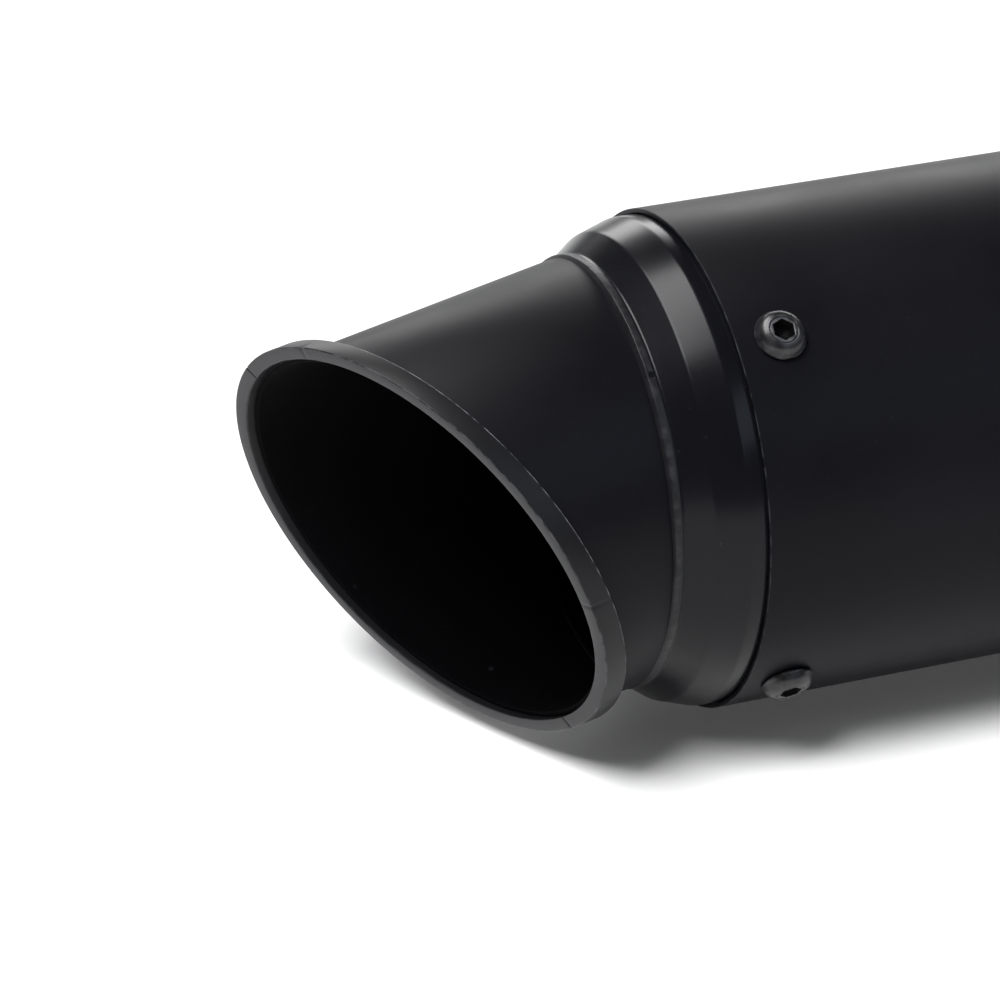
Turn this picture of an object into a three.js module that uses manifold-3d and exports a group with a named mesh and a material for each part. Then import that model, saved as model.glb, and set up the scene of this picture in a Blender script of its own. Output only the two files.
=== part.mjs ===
// A slip-on motorcycle exhaust muffler: a round black can with a pressed cap at each end, a drooping
// slash-cut outlet tip, a clamped inlet pipe and a hanger strap that slides and turns on the can.
//
// Millimetres, +Z up. The can's axis runs along +X from the outlet to the inlet, and x = 0 is the
// sleeve's outlet edge. A clock angle turns from straight up (+Z) towards -Y. The can lies the way it
// rests on a bench: on its hanger strap, with the hanger tab's corner touching on the +Y side.

import * as THREE from "three";
import { mergeVertices } from "three/addons/utils/BufferGeometryUtils.js";
import Module from "manifold-3d";

const wasm = await Module();
wasm.setup();

const DEGREE = Math.PI / 180;

// Clearances
const GAP = 0.3; // between pieces that touch
const HOLE_CLEARANCE = 0.3; // radial, round a screw's shank
const THROUGH = 1; // how far a cutting tool runs past what it cuts
const THROUGH_CURVED = 2; // the same, where the wall curves away from the tool
const PLATE_CLEARANCE = 2; // from the outlet weld nuts to the outlet plate
const PACKING_CLEARANCE = 1; // from each cap's flange to the packing
const MERGE_DISTANCE = 1e-4; // vertices nearer than this are one vertex

// Sleeve, the rolled outer shell
const SLEEVE_RADIUS = 50.5;
const SLEEVE_WALL = 1.0;
const SLEEVE_LENGTH = 220;

// End caps, pressed from sheet; each one's flange slides into the sleeve
const CAP_WALL = 1.2;
const CAP_FLANGE_DEPTH = 24;
const CAP_LAND = 1.5; // straight part that shows in front of the sleeve
const SHOULDER_RADIUS = 10;
const SHOULDER_STEPS = 3;
const OUTLET_SHOULDER_ANGLE = 32.2 * DEGREE;
const OUTLET_NECK_FILLET = 6;
const OUTLET_NECK_STEP = 0.25; // how far the neck stands proud of the tip's widest point
const INLET_SHOULDER_ANGLE = 48 * DEGREE;
const INLET_NECK_FILLET = 8;
const INLET_COLLAR_LENGTH = 4;

// Outlet tip, a tube that droops from the can's axis and ends in a slash cut
const TIP_RADIUS = 42.4;
const TIP_WALL = 1.2;
const TIP_LENGTH = 40; // along the tip's axis, from the neck to the middle of the slash
const TIP_CLOCK = 129 * DEGREE; // the way the tip droops and the slash faces
const TIP_DROOP = 12 * DEGREE;
const SLASH_ANGLE = 19.7 * DEGREE; // of the slash's normal from the tip's axis
const TIP_SETBACK = 1.5; // the tube ends this far behind the band's front face

// Rim band round the mouth
const BAND_THICKNESS = 2.6;
const BAND_WIDTH = 4.4;

// Weld between the neck and the tip
const TIP_WELD_WIDTH = 1.0;
const TIP_WELD_DEPTH = 2.2;

// Socket button-head screws, M6, and their weld nuts
const SCREW_RADIUS = 3;
const SCREW_LENGTH = 10;
const HEAD_RADIUS = 5.25;
const HEAD_HEIGHT = 3.3;
const HEAD_RIM = 0.7;
const HEAD_TOP_RADIUS = 3.1;
const HEAD_CROWN_INSET = 0.2; // the dome's control point, in from the head's side
const HEAD_CROWN_DROP = 0.5; // and down from its top
const HEAD_STEPS = 3;
const SOCKET_FLATS = 4;
const SOCKET_DEPTH = 2;
const SCREW_INSET = 9.2; // from the sleeve's edge
const SCREW_COUNT = 4;
const NUT_FLATS = 10;
const NUT_HEIGHT = 5;
const HEX_SIDES = 6;

// Outlet plate, which carries the core's outlet end
const PLATE_WALL = 1.2;
const PLATE_LIP = 5;
const PLATE_COLLAR = 6;

// Inlet pipe, slotted so that the clamp can squeeze it on to the link pipe
const PIPE_BORE_RADIUS = 25.5;
const PIPE_WALL = 1.5;
const PIPE_FREE_LENGTH = 40; // beyond the inlet cap's collar
const PIPE_INNER_LENGTH = 14; // inside the sleeve
const SLOT_LENGTH = 24;
const SLOT_WIDTH = 3;
const SLOT_COUNT = 4;
const INLET_WELD_WIDTH = 2.6;
const INLET_WELD_HEIGHT = 1.3;
const INLET_WELD_STEPS = 2;

// Perforated core and its packing
const CORE_WALL = 1.2;
const CORE_OVERLAP = 10; // of the core over the inlet pipe
const PERFORATION_RADIUS = 4;
const PERFORATION_ROWS = 7;
const PERFORATIONS_PER_ROW = 6;
const PERFORATION_MARGIN = 24; // plain length at each end of the core

// Hanger: rubber liner, strap with two ears, and a tab pinched between the ears
const HANGER_X = 150;
const LINER_THICKNESS = 1.2;
const LINER_WIDTH = 28;
const STRAP_THICKNESS = 1.6;
const STRAP_WIDTH = 24;
const TAB_THICKNESS = 4;
const TAB_ROOT_CLEARANCE = 1;
const TAB_REACH = 34; // of the tab's end beyond the strap
const TAB_HOLE_RADIUS = 4.25;
const TAB_HOLE_EDGE = 10; // hole's centre to the tab's end
const TAB_EYE_RADIUS = 8; // raised pad round the hole, on both faces
const TAB_EYE_HEIGHT = 1;
const EAR_REACH = 15;
const EAR_BOLT_REACH = 8.5;
const HANGER_BOLT_LENGTH = 20;
const WASHER_RADIUS = 6;
const WASHER_HEIGHT = 1.6;

// Inlet clamp
const CLAMP_THICKNESS = 1.6;
const CLAMP_WIDTH = 18;
const CLAMP_EAR_GAP = 7;
const CLAMP_EAR_REACH = 13;
const CLAMP_BOLT_REACH = 7.2;
const CLAMP_BOLT_LENGTH = 20;
const CLAMP_INSET = 3; // from the pipe's free end
const CLAMP_CLOCK = 60 * DEGREE;

const AROUND = 48; // facets round the can
const AROUND_BAND = 36; // facets round a strap or clamp
const AROUND_SMALL = 12; // facets round a screw
const AROUND_EYE = 24; // facets round the hanger tab's eye
const AROUND_DRILL = 6; // facets round a perforation
const ARC_SEGMENTS = 10; // steps along each arc of the hanger tab
const ROOMY = 400; // larger than anything that a half-space trims

// Sizes that follow from those above
const FLANGE_RADIUS = SLEEVE_RADIUS - SLEEVE_WALL - GAP;
const NECK_RADIUS = TIP_RADIUS / Math.cos(TIP_DROOP) + OUTLET_NECK_STEP;
const PIPE_RADIUS = PIPE_BORE_RADIUS + PIPE_WALL;
const COLLAR_RADIUS = PIPE_RADIUS + GAP + CAP_WALL;
const CORE_BORE_RADIUS = PIPE_RADIUS + GAP;
const CORE_RADIUS = CORE_BORE_RADIUS + CORE_WALL;
const LINER_BORE_RADIUS = SLEEVE_RADIUS + GAP;
const STRAP_BORE_RADIUS = LINER_BORE_RADIUS + LINER_THICKNESS + GAP;
const STRAP_RADIUS = STRAP_BORE_RADIUS + STRAP_THICKNESS;
const BORE_RADIUS = SCREW_RADIUS + HOLE_CLEARANCE;

const BLACK_PAINT = { color: 0x17181b, roughness: 0.55, metalness: 0.2 };
const FINISHES = {
  sleeve: { ...BLACK_PAINT, roughness: 0.6 },
  cap: { ...BLACK_PAINT, roughness: 0.42 },
  tip: { ...BLACK_PAINT, roughness: 0.62 },
  band: { color: 0x26272a, roughness: 0.5, metalness: 0.3 },
  weld: { color: 0x2b2c30, roughness: 0.5, metalness: 0.5 },
  screw: { color: 0x1a1a1c, roughness: 0.4, metalness: 0.7 },
  steel: { color: 0x8d8f92, roughness: 0.4, metalness: 0.9 },
  strap: { color: 0x1c1d20, roughness: 0.5, metalness: 0.4 },
  rubber: { color: 0x0f0f10, roughness: 0.9, metalness: 0 },
  wool: { color: 0xc9b26a, roughness: 1, metalness: 0 },
};

// Solids: three.js geometry in and out of manifold-3d

function toSolid(geometry) {
  const bare = geometry.clone();
  bare.deleteAttribute("normal");
  bare.deleteAttribute("uv");
  const welded = mergeVertices(bare, MERGE_DISTANCE);
  const vertProperties = new Float32Array(welded.attributes.position.array);
  const triVerts = new Uint32Array(welded.index.array);
  return new wasm.Manifold(new wasm.Mesh({ numProp: 3, vertProperties, triVerts }));
}

function toGeometry(solid) {
  const { vertProperties, triVerts } = solid.getMesh();
  const geometry = new THREE.BufferGeometry();
  geometry.setAttribute("position", new THREE.BufferAttribute(vertProperties, 3));
  geometry.setIndex(new THREE.BufferAttribute(triVerts, 1));
  geometry.computeVertexNormals();
  return geometry;
}

function join(geometries) {
  return toGeometry(geometries.map(toSolid).reduce((solid, next) => solid.add(next)));
}

function cut(geometry, tools) {
  return toGeometry(tools.reduce((solid, tool) => solid.subtract(toSolid(tool)), toSolid(geometry)));
}

function keep(geometry, regions) {
  return toGeometry(regions.reduce((solid, region) => solid.intersect(toSolid(region)), toSolid(geometry)));
}

// A solid of revolution about +X from a closed outline of [x, radius] points
function turned(outline, segments = AROUND) {
  const doubledArea = outline.reduce((sum, [x, r], i) => {
    const [nextX, nextR] = outline[(i + 1) % outline.length];
    return sum + x * nextR - nextX * r;
  }, 0);
  const ordered = doubledArea > 0 ? [...outline].reverse() : outline;
  const points = [...ordered, ordered[0]].map(([x, r]) => new THREE.Vector2(r, x));
  return new THREE.LatheGeometry(points, segments).rotateZ(-Math.PI / 2);
}

function ring(startX, endX, innerRadius, outerRadius) {
  return turned([[startX, innerRadius], [startX, outerRadius], [endX, outerRadius], [endX, innerRadius]]);
}

function rod(radius, length, segments = AROUND_SMALL) {
  return new THREE.CylinderGeometry(radius, radius, length, segments).rotateX(Math.PI / 2);
}

// Turns a geometry made along +Z to point outwards at a clock angle, at a place along the can
function atClock(geometry, clock, x, radius) {
  return geometry.translate(0, 0, radius).rotateX(clock).translate(x, 0, 0);
}

// Screws, nuts and washers, made along +Z with the seating face at z = 0

function buttonScrew(length) {
  const domeStart = new THREE.Vector2(HEAD_RADIUS, HEAD_RIM);
  const domeEnd = new THREE.Vector2(HEAD_TOP_RADIUS, HEAD_HEIGHT);
  const domePull = new THREE.Vector2(HEAD_RADIUS - HEAD_CROWN_INSET, HEAD_HEIGHT - HEAD_CROWN_DROP);
  const dome = new THREE.QuadraticBezierCurve(domeStart, domePull, domeEnd).getPoints(HEAD_STEPS);
  const outline = [
    new THREE.Vector2(0, -length),
    new THREE.Vector2(SCREW_RADIUS, -length),
    new THREE.Vector2(SCREW_RADIUS, 0),
    new THREE.Vector2(HEAD_RADIUS, 0),
    ...dome,
    new THREE.Vector2(0, HEAD_HEIGHT),
  ];
  const body = new THREE.LatheGeometry(outline, AROUND_SMALL).rotateX(Math.PI / 2);
  const socketHeight = SOCKET_DEPTH + THROUGH;
  const socket = rod(SOCKET_FLATS / Math.sqrt(3), socketHeight, HEX_SIDES);
  socket.translate(0, 0, HEAD_HEIGHT - SOCKET_DEPTH + socketHeight / 2);
  return cut(body, [socket]);
}

function hexNut() {
  const body = rod(NUT_FLATS / Math.sqrt(3), NUT_HEIGHT, HEX_SIDES);
  return cut(body, [rod(BORE_RADIUS, NUT_HEIGHT + 2 * THROUGH)]).translate(0, 0, -NUT_HEIGHT / 2);
}

function washer() {
  const body = rod(WASHER_RADIUS, WASHER_HEIGHT, AROUND_SMALL);
  return cut(body, [rod(BORE_RADIUS, WASHER_HEIGHT + 2 * THROUGH)]).translate(0, 0, WASHER_HEIGHT / 2);
}

const screwClocks = Array.from(
  { length: SCREW_COUNT },
  (_, i) => TIP_CLOCK + (i * 2 * Math.PI) / SCREW_COUNT,
);

// Holes for one row of screws, through every wall between the sleeve and the nuts
function screwHoles(x) {
  const reach = SLEEVE_RADIUS - FLANGE_RADIUS + CAP_WALL + 2 * THROUGH;
  const middleRadius = SLEEVE_RADIUS + THROUGH - reach / 2;
  return screwClocks.map((clock) => atClock(rod(BORE_RADIUS, reach), clock, x, middleRadius));
}

const outletScrewX = SCREW_INSET;
const inletScrewX = SLEEVE_LENGTH - SCREW_INSET;

// Sleeve

function makeSleeve() {
  const shell = ring(0, SLEEVE_LENGTH, SLEEVE_RADIUS - SLEEVE_WALL, SLEEVE_RADIUS);
  return cut(shell, [...screwHoles(outletScrewX), ...screwHoles(inletScrewX)]);
}

// A pressed cap's outside, as [distance from the sleeve's edge, radius]: a straight land, a round
// shoulder, a cone at the given angle and a hollow fillet that ends along the neck. Inset gives the inside.
function capProfile(neckRadius, angle, fillet, inset) {
  const drop = FLANGE_RADIUS - neckRadius;
  const cone = (drop - (SHOULDER_RADIUS + fillet) * (1 - Math.cos(angle))) / Math.sin(angle);
  const neckReach = CAP_LAND + (SHOULDER_RADIUS + fillet) * Math.sin(angle) + cone * Math.cos(angle);
  const points = [[-CAP_FLANGE_DEPTH, FLANGE_RADIUS - inset]];
  for (let i = 0; i <= SHOULDER_STEPS; i++) {
    const turn = (angle * i) / SHOULDER_STEPS;
    const radius = SHOULDER_RADIUS - inset;
    const centreRadius = FLANGE_RADIUS - SHOULDER_RADIUS;
    points.push([CAP_LAND + radius * Math.sin(turn), centreRadius + radius * Math.cos(turn)]);
  }
  for (let i = 0; i <= SHOULDER_STEPS; i++) {
    const turn = angle * (1 - i / SHOULDER_STEPS);
    const radius = fillet + inset;
    points.push([neckReach - radius * Math.sin(turn), neckRadius + fillet - radius * Math.cos(turn)]);
  }
  return points;
}

function capNeckReach(neckRadius, angle, fillet) {
  return capProfile(neckRadius, angle, fillet, 0).at(-1)[0];
}

// Outlet cap, weld and tip

const neckReach = capNeckReach(NECK_RADIUS, OUTLET_SHOULDER_ANGLE, OUTLET_NECK_FILLET);
const neckX = -neckReach;
const weldX = neckX - GAP - TIP_WELD_WIDTH;
const tipRootX = weldX - GAP;

function makeOutletCap() {
  const outside = capProfile(NECK_RADIUS, OUTLET_SHOULDER_ANGLE, OUTLET_NECK_FILLET, 0);
  const inside = capProfile(NECK_RADIUS, OUTLET_SHOULDER_ANGLE, OUTLET_NECK_FILLET, CAP_WALL);
  const outline = [...outside, ...inside.reverse()].map(([reach, radius]) => [-reach, radius]);
  return cut(turned(outline), screwHoles(outletScrewX));
}

function makeTipWeld() {
  return ring(weldX, neckX - GAP, TIP_RADIUS - TIP_WELD_DEPTH / 2, TIP_RADIUS + TIP_WELD_DEPTH / 2 - GAP);
}

// Directions of the tip: outwards along its axis, and square to the slash cut
const outward = new THREE.Vector3(-1, 0, 0);
const droopWay = new THREE.Vector3(0, -Math.sin(TIP_CLOCK), Math.cos(TIP_CLOCK));

function leaned(angle) {
  return outward.clone().multiplyScalar(Math.cos(angle)).addScaledVector(droopWay, Math.sin(angle));
}

const tipAxis = leaned(TIP_DROOP);
const slashNormal = leaned(TIP_DROOP + SLASH_ANGLE);
const tipRoot = new THREE.Vector3(tipRootX, 0, 0);
const slashCentre = tipRoot.clone().addScaledVector(tipAxis, TIP_LENGTH);

function alongTip(geometry) {
  const turn = new THREE.Quaternion().setFromUnitVectors(new THREE.Vector3(1, 0, 0), tipAxis);
  return geometry.applyQuaternion(turn).translate(...tipRoot.toArray());
}

// Everything behind the slash plane moved back by an offset, or a slab of the given depth there
function behindSlash(offset, depth = ROOMY) {
  const block = new THREE.BoxGeometry(depth, ROOMY, ROOMY).translate(-depth / 2 - offset, 0, 0);
  const turn = new THREE.Quaternion().setFromUnitVectors(new THREE.Vector3(1, 0, 0), slashNormal);
  return block.applyQuaternion(turn).translate(...slashCentre.toArray());
}

// A length of round tube along the tip's axis, long enough for both of its slanted ends
function tipStock(innerRadius, outerRadius) {
  return alongTip(ring(-outerRadius, TIP_LENGTH + 2 * outerRadius, innerRadius, outerRadius));
}

function makeOutletTip() {
  const tube = tipStock(TIP_RADIUS - TIP_WALL, TIP_RADIUS);
  const inFrontOfNeck = new THREE.BoxGeometry(ROOMY, ROOMY, ROOMY).translate(tipRootX - ROOMY / 2, 0, 0);
  return keep(tube, [inFrontOfNeck, behindSlash(TIP_SETBACK)]);
}

function makeTipBand() {
  const innerRadius = TIP_RADIUS + GAP;
  const tube = tipStock(innerRadius, innerRadius + BAND_THICKNESS);
  return keep(tube, [behindSlash(0, BAND_WIDTH)]);
}

// Inlet cap, pipe, weld, outlet plate, core and packing

const inletCapReach = capNeckReach(COLLAR_RADIUS, INLET_SHOULDER_ANGLE, INLET_NECK_FILLET);
const collarEndX = SLEEVE_LENGTH + inletCapReach + INLET_COLLAR_LENGTH;
const pipeEndX = collarEndX + PIPE_FREE_LENGTH;
const pipeInnerX = SLEEVE_LENGTH - PIPE_INNER_LENGTH;
const plateX = SCREW_INSET + NUT_FLATS / 2 + PLATE_CLEARANCE;
const coreStartX = plateX - PLATE_COLLAR + PLATE_WALL;
const coreEndX = pipeInnerX + CORE_OVERLAP;

function makeInletCap() {
  const outside = capProfile(COLLAR_RADIUS, INLET_SHOULDER_ANGLE, INLET_NECK_FILLET, 0);
  const inside = capProfile(COLLAR_RADIUS, INLET_SHOULDER_ANGLE, INLET_NECK_FILLET, CAP_WALL);
  const collarEnd = inletCapReach + INLET_COLLAR_LENGTH;
  outside.push([collarEnd, COLLAR_RADIUS], [collarEnd, COLLAR_RADIUS - CAP_WALL]);
  const outline = [...outside, ...inside.reverse()].map(([reach, radius]) => [SLEEVE_LENGTH + reach, radius]);
  return cut(turned(outline), screwHoles(inletScrewX));
}

function makeInletPipe() {
  const tube = ring(pipeInnerX, pipeEndX, PIPE_BORE_RADIUS, PIPE_RADIUS);
  const slots = Array.from({ length: SLOT_COUNT }, (_, i) => {
    const slot = new THREE.BoxGeometry(SLOT_LENGTH + THROUGH, SLOT_WIDTH, PIPE_WALL + 2 * THROUGH);
    const clock = CLAMP_CLOCK + (i * 2 * Math.PI) / SLOT_COUNT;
    return atClock(slot, clock, pipeEndX + (THROUGH - SLOT_LENGTH) / 2, PIPE_RADIUS - PIPE_WALL / 2);
  });
  return cut(tube, slots);
}

function makeInletWeld() {
  const startX = collarEndX + GAP;
  const innerRadius = PIPE_RADIUS + GAP;
  const outline = [[startX, innerRadius]];
  for (let i = 0; i <= INLET_WELD_STEPS; i++) {
    const turn = ((Math.PI / 2) * i) / INLET_WELD_STEPS;
    outline.push([
      startX + INLET_WELD_WIDTH * Math.sin(turn),
      innerRadius + INLET_WELD_HEIGHT * Math.cos(turn),
    ]);
  }
  return turned(outline);
}

function makeOutletPlate() {
  const rimRadius = FLANGE_RADIUS - CAP_WALL - GAP;
  const boreRadius = CORE_RADIUS + GAP;
  const backX = plateX + PLATE_WALL;
  return turned([
    [backX - PLATE_COLLAR, boreRadius],
    [backX, boreRadius],
    [backX, rimRadius - PLATE_WALL],
    [plateX + PLATE_LIP, rimRadius - PLATE_WALL],
    [plateX + PLATE_LIP, rimRadius],
    [plateX, rimRadius],
    [plateX, boreRadius + PLATE_WALL],
    [backX - PLATE_COLLAR, boreRadius + PLATE_WALL],
  ]);
}

function makeCoreTube() {
  const tube = ring(coreStartX, coreEndX, CORE_BORE_RADIUS, CORE_RADIUS);
  const firstX = coreStartX + PERFORATION_MARGIN;
  const pitch = (coreEndX - coreStartX - 2 * PERFORATION_MARGIN) / (PERFORATION_ROWS - 1);
  const drills = [];
  for (let row = 0; row < PERFORATION_ROWS; row++) {
    for (let hole = 0; hole < PERFORATIONS_PER_ROW; hole++) {
      const clock = ((hole + (row % 2) / 2) * 2 * Math.PI) / PERFORATIONS_PER_ROW;
      const drill = rod(PERFORATION_RADIUS, CORE_WALL + 2 * THROUGH_CURVED, AROUND_DRILL);
      drills.push(atClock(drill, clock, firstX + row * pitch, CORE_RADIUS - CORE_WALL / 2));
    }
  }
  return cut(tube, drills);
}

function makePacking() {
  const startX = CAP_FLANGE_DEPTH + PACKING_CLEARANCE;
  return ring(startX, SLEEVE_LENGTH - startX, CORE_RADIUS + GAP, SLEEVE_RADIUS - SLEEVE_WALL - GAP);
}

// An open band round the X axis with its gap at +Z and, if earTip is given, an ear on each side of it
function openBand(boreRadius, thickness, width, halfGap, earTip = 0) {
  const outerRadius = boreRadius + thickness;
  const innerTurn = Math.asin(halfGap / boreRadius);
  const outerOffset = earTip > 0 ? halfGap + thickness : halfGap;
  const outerTurn = Math.asin(outerOffset / outerRadius);
  const shape = new THREE.Shape();
  shape.absarc(0, 0, boreRadius, Math.PI / 2 - innerTurn, Math.PI / 2 + innerTurn, true);
  if (earTip > 0) {
    shape.lineTo(-halfGap, earTip);
    shape.lineTo(-outerOffset, earTip);
  }
  shape.absarc(0, 0, outerRadius, Math.PI / 2 + outerTurn, Math.PI / 2 - outerTurn, false);
  if (earTip > 0) {
    shape.lineTo(outerOffset, earTip);
    shape.lineTo(halfGap, earTip);
  }
  const settings = { depth: width, bevelEnabled: false, curveSegments: AROUND_BAND };
  const band = new THREE.ExtrudeGeometry(shape, settings);
  const axes = new THREE.Matrix4().makeBasis(
    new THREE.Vector3(0, 1, 0),
    new THREE.Vector3(0, 0, 1),
    new THREE.Vector3(1, 0, 0),
  );
  return band.applyMatrix4(axes).translate(-width / 2, 0, 0);
}

function acrossEars(geometry, reach) {
  return geometry.rotateX(-Math.PI / 2).translate(0, 0, reach);
}

// Hanger, made with its tab pointing up at x = 0 and turned down to the bench afterwards

const earHalfGap = TAB_THICKNESS / 2 + GAP;
const tabTip = STRAP_RADIUS + TAB_REACH;
const tabHoleReach = tabTip - TAB_HOLE_EDGE;
const eyeThickness = TAB_THICKNESS + 2 * TAB_EYE_HEIGHT;
const hangerBoltReach = STRAP_RADIUS + EAR_BOLT_REACH;
const hangerSeat = earHalfGap + STRAP_THICKNESS + GAP; // washer's inner face, from the tab's middle

function makeHangerStrap() {
  const earTip = STRAP_RADIUS + EAR_REACH;
  const band = openBand(STRAP_BORE_RADIUS, STRAP_THICKNESS, STRAP_WIDTH, earHalfGap, earTip);
  const drillLength = 2 * (hangerSeat + THROUGH);
  return cut(band, [acrossEars(rod(BORE_RADIUS, drillLength), hangerBoltReach)]);
}

function makeHangerTab() {
  const root = STRAP_RADIUS + TAB_ROOT_CLEARANCE;
  const halfWidth = STRAP_WIDTH / 2;
  const outline = new THREE.Shape();
  outline.moveTo(-halfWidth, root);
  outline.lineTo(halfWidth, root);
  outline.absarc(0, tabTip - halfWidth, halfWidth, 0, Math.PI, false);
  outline.closePath();
  const settings = { depth: TAB_THICKNESS, bevelEnabled: false, curveSegments: ARC_SEGMENTS };
  const plate = new THREE.ExtrudeGeometry(outline, settings);
  plate.rotateX(Math.PI / 2).translate(0, TAB_THICKNESS / 2, 0);
  const eye = acrossEars(rod(TAB_EYE_RADIUS, eyeThickness, AROUND_EYE), tabHoleReach);
  const drillLength = eyeThickness + 2 * THROUGH;
  const boltHole = acrossEars(rod(BORE_RADIUS, drillLength), hangerBoltReach);
  const mountHole = acrossEars(rod(TAB_HOLE_RADIUS, drillLength, AROUND_EYE), tabHoleReach);
  return cut(join([plate, eye]), [boltHole, mountHole]);
}

function makeHangerWasher(side) {
  const seated = washer().translate(0, 0, hangerSeat);
  return acrossEars(seated.rotateX(side > 0 ? 0 : Math.PI), hangerBoltReach);
}

const boltSeat = hangerSeat + WASHER_HEIGHT + GAP;

function makeHangerBolt() {
  return acrossEars(buttonScrew(HANGER_BOLT_LENGTH).translate(0, 0, boltSeat), hangerBoltReach);
}

function makeHangerNut() {
  return acrossEars(hexNut().translate(0, 0, -boltSeat), hangerBoltReach);
}

// The can lies on its strap, so the tab turns down until the end of it, or of its eye, is level with that
const tabCorners = [
  [tabTip, TAB_THICKNESS / 2],
  [tabHoleReach + TAB_EYE_RADIUS, eyeThickness / 2],
];
const turnsFromDown = tabCorners.map(([reach, side]) => {
  const level = Math.acos(STRAP_RADIUS / Math.hypot(reach, side));
  return level + Math.atan2(side, reach);
});
const tabClock = Math.PI + Math.max(...turnsFromDown);

// Inlet clamp, made with its ears pointing up at x = 0

const clampBoreRadius = PIPE_RADIUS + GAP;
const clampRadius = clampBoreRadius + CLAMP_THICKNESS;
const clampBoltReach = clampRadius + CLAMP_BOLT_REACH;
const clampSeat = CLAMP_EAR_GAP / 2 + CLAMP_THICKNESS + GAP;

function makeInletClamp() {
  const earTip = clampRadius + CLAMP_EAR_REACH;
  const band = openBand(clampBoreRadius, CLAMP_THICKNESS, CLAMP_WIDTH, CLAMP_EAR_GAP / 2, earTip);
  return cut(band, [acrossEars(rod(BORE_RADIUS, 2 * (clampSeat + THROUGH)), clampBoltReach)]);
}

function makeClampBolt() {
  return acrossEars(buttonScrew(CLAMP_BOLT_LENGTH).translate(0, 0, clampSeat), clampBoltReach);
}

function makeClampNut() {
  return acrossEars(hexNut().translate(0, 0, -clampSeat), clampBoltReach);
}

// Assembly

function piece(name, geometry, finish) {
  const mesh = new THREE.Mesh(geometry, new THREE.MeshStandardMaterial(FINISHES[finish]));
  mesh.name = name;
  return mesh;
}

function screwRow(end, x) {
  const nutCorner = NUT_FLATS / Math.sqrt(3);
  const nutSeat = Math.sqrt((FLANGE_RADIUS - CAP_WALL - GAP) ** 2 - nutCorner ** 2);
  return screwClocks.flatMap((clock, i) => {
    const screw = piece(`${end}_screw_${i + 1}`, buttonScrew(SCREW_LENGTH), "screw");
    const nut = piece(`${end}_nut_${i + 1}`, hexNut(), "steel");
    for (const [mesh, radius] of [[screw, SLEEVE_RADIUS + GAP], [nut, nutSeat]]) {
      mesh.rotation.x = clock;
      mesh.position.set(x, -radius * Math.sin(clock), radius * Math.cos(clock));
    }
    return [screw, nut];
  });
}

const can = new THREE.Group();
can.add(
  piece("sleeve", makeSleeve(), "sleeve"),
  piece("outlet_cap", makeOutletCap(), "cap"),
  piece("tip_weld", makeTipWeld(), "weld"),
  piece("outlet_tip", makeOutletTip(), "tip"),
  piece("tip_band", makeTipBand(), "band"),
  piece("outlet_plate", makeOutletPlate(), "steel"),
  piece("inlet_cap", makeInletCap(), "cap"),
  piece("inlet_pipe", makeInletPipe(), "steel"),
  piece("inlet_weld", makeInletWeld(), "weld"),
  piece("core_tube", makeCoreTube(), "steel"),
  piece("packing", makePacking(), "wool"),
  ...screwRow("outlet", outletScrewX),
  ...screwRow("inlet", inletScrewX),
);

const hanger = new THREE.Group();
const linerHalfGap = earHalfGap + STRAP_THICKNESS;
hanger.add(
  piece("hanger_liner", openBand(LINER_BORE_RADIUS, LINER_THICKNESS, LINER_WIDTH, linerHalfGap), "rubber"),
  piece("hanger_strap", makeHangerStrap(), "strap"),
  piece("hanger_tab", makeHangerTab(), "strap"),
  piece("hanger_washer_1", makeHangerWasher(1), "steel"),
  piece("hanger_washer_2", makeHangerWasher(-1), "steel"),
  piece("hanger_bolt", makeHangerBolt(), "screw"),
  piece("hanger_nut", makeHangerNut(), "steel"),
);
hanger.rotation.x = tabClock;
hanger.position.x = HANGER_X;

const clamp = new THREE.Group();
clamp.add(
  piece("inlet_clamp", makeInletClamp(), "steel"),
  piece("inlet_clamp_bolt", makeClampBolt(), "screw"),
  piece("inlet_clamp_nut", makeClampNut(), "steel"),
);
clamp.rotation.x = CLAMP_CLOCK;
clamp.position.x = pipeEndX - CLAMP_INSET - CLAMP_WIDTH / 2;

const muffler = new THREE.Group();
muffler.add(can, hanger, clamp);

// The origin is the middle of the muffler's footprint, on the bench
muffler.updateMatrixWorld(true);
const box = new THREE.Box3().setFromObject(muffler, true);
const middle = box.getCenter(new THREE.Vector3());
muffler.position.set(-middle.x, -middle.y, -box.min.z);

export default muffler;
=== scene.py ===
import math

import bpy
import numpy as np
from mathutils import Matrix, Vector


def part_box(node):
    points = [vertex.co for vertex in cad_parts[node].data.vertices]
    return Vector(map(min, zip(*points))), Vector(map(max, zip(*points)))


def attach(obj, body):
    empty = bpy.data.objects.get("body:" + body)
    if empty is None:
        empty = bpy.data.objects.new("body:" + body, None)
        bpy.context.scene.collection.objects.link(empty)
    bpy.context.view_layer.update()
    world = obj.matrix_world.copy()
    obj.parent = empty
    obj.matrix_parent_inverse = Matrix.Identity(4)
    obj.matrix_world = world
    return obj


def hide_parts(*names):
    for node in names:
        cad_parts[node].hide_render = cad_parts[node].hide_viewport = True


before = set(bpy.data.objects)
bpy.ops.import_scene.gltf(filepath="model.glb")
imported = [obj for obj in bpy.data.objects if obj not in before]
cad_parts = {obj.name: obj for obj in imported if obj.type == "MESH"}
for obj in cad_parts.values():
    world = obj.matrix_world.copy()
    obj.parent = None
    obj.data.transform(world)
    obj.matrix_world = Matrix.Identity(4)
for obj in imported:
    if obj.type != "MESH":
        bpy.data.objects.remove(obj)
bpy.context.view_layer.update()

MM = 0.001
AROUND = 192  # points round the can


# ---------------------------------------------------------------- places, from the frame

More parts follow.
